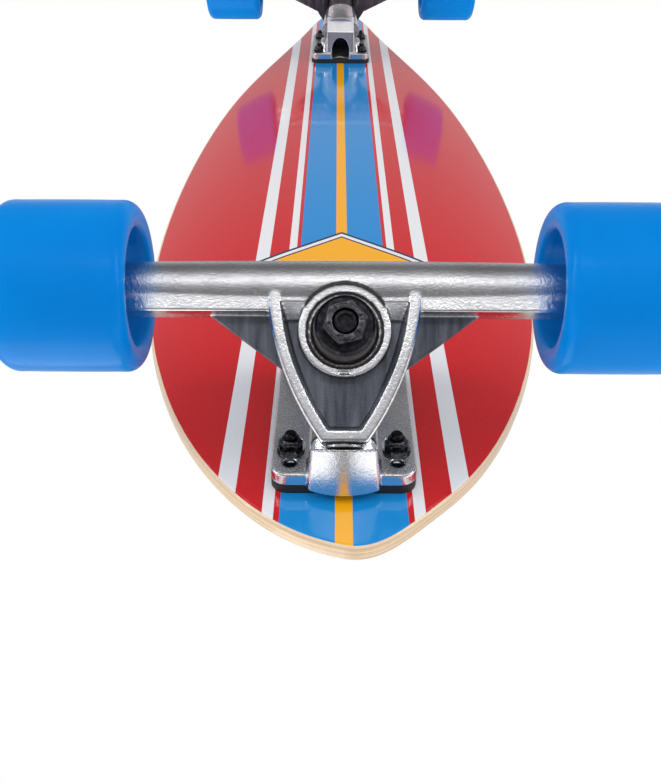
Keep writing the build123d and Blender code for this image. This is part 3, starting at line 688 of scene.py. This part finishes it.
def area_light(name, place, target, size, power):
    """A soft rectangular light that looks at a point."""
    light = bpy.data.lights.new(name, "AREA")
    light.shape = "RECTANGLE"
    light.size, light.size_y = size
    light.energy = power
    lamp = bpy.data.objects.new(name, light)
    lamp.location = place
    lamp.rotation_euler = (Vector(target) - Vector(place)).to_track_quat("-Z", "Y").to_euler()
    scene.collection.objects.link(lamp)


area_light("under_key", (0, -1.2, -1.4), (0, -0.38, 0.04), (1.1, 0.2), 1.9)
for side, x in (("left", 1.2), ("right", -1.2)):
    area_light(f"under_{side}", (x, -0.5, -0.5), (0, -0.38, 0.05), (0.2, 1.0), 4)
area_light("top", (0.6, -0.8, 1.8), (0, 0, 0.1), (1.5, 1.5), 14)

# What the shiny surfaces mirror: brightness by the angle in degrees from the horizon in front of the
# nose. 90 is straight down, 180 the horizon behind the tail and -90 straight up.
STUDIO = [
    (-180, 0.7),
    (-110, 0.6),
    (-90, 0.5),
    (-45, 1.9),
    (-15, 0.5),
    (0, 0.2),
    (18, 0.22),
    (31, 0.35),
    (41, 0.56),
    (54, 0.7),
    (61, 0.95),
    (76, 0.8),
    (90, 0.4),
    (104, 0.2),
    (119, 0.14),
    (148, 0.16),
    (166, 0.45),
    (180, 0.7),
]
DIFFUSE_STRENGTH = 0.84
# The studio's upper half has a darker strip straight in front: how dark it is, and how far sideways
# a direction points where the strip ends and where it has faded out.
STRIP_STRENGTH = 0.3
STRIP_HALF_WIDTH = 0.1
STRIP_FADED = 0.3


def background(s, colour, strength):
    """A background shader of a colour and a strength."""
    node = s.add("ShaderNodeBackground")
    s.link(colour, node.inputs["Color"])
    s.link(strength, node.inputs["Strength"])
    return node.outputs[0]


def studio_world():
    """White to the camera, even to matt surfaces, and the studio's bands to shiny ones."""
    world = bpy.data.worlds.new("studio")
    world.use_nodes = True
    s = Nodes(world.node_tree)
    s.tree.nodes.remove(s.tree.nodes["Background"])
    x, y, z = s.split(s.coords.outputs["Generated"])
    down = s.math("MULTIPLY", z, -1.0)
    front = s.math("MULTIPLY", y, -1.0)
    turn = s.math("MULTIPLY", s.math("ARCTAN2", down, front), 0.5 / math.pi)
    stops = [(degrees / 360 + 0.5, (level, level, level * 1.02)) for degrees, level in STUDIO]
    bands = s.ramp(s.math("ADD", turn, 0.5), stops)
    strip = s.between(s.math("ABSOLUTE", x), STRIP_STRENGTH, 1.0, STRIP_HALF_WIDTH, STRIP_FADED)
    mirrored = background(s, bands, s.math("MAXIMUM", strip, s.math("GREATER_THAN", down, 0.0)))
    even = background(s, (1, 1, 1, 1), DIFFUSE_STRENGTH)
    seen = background(s, (1, 1, 1, 1), 1.0)
    path = s.add("ShaderNodeLightPath")
    lit = s.either(path.outputs["Is Glossy Ray"], even, mirrored)
    shown = s.either(path.outputs["Is Camera Ray"], lit, seen)
    s.link(shown, s.tree.nodes["World Output"].inputs["Surface"])
    return world


scene.world = studio_world()

# The camera stands under the ground in front of the nose and looks up at the underside, upside down.
CAMERA_PLACE = (0.0035, -0.678, -0.1244)
CAMERA_PITCH = math.radians(34.8)
CAMERA_ROLL = math.radians(0.3)
CAMERA_LENS = 40.0
CAMERA_SHIFT = -0.0058
camera_data = bpy.data.cameras.new("camera")
camera_data.lens = CAMERA_LENS
camera_data.shift_x = CAMERA_SHIFT
camera = bpy.data.objects.new("camera", camera_data)
scene.collection.objects.link(camera)
sine, cosine = math.sin(CAMERA_PITCH), math.cos(CAMERA_PITCH)
looking = Matrix(((-1, 0, 0), (0, sine, -cosine), (0, -cosine, -sine))).transposed()
camera.matrix_world = (
    Matrix.Translation(CAMERA_PLACE) @ looking.to_4x4() @ Matrix.Rotation(CAMERA_ROLL, 4, "Z")
)
scene.camera = camera
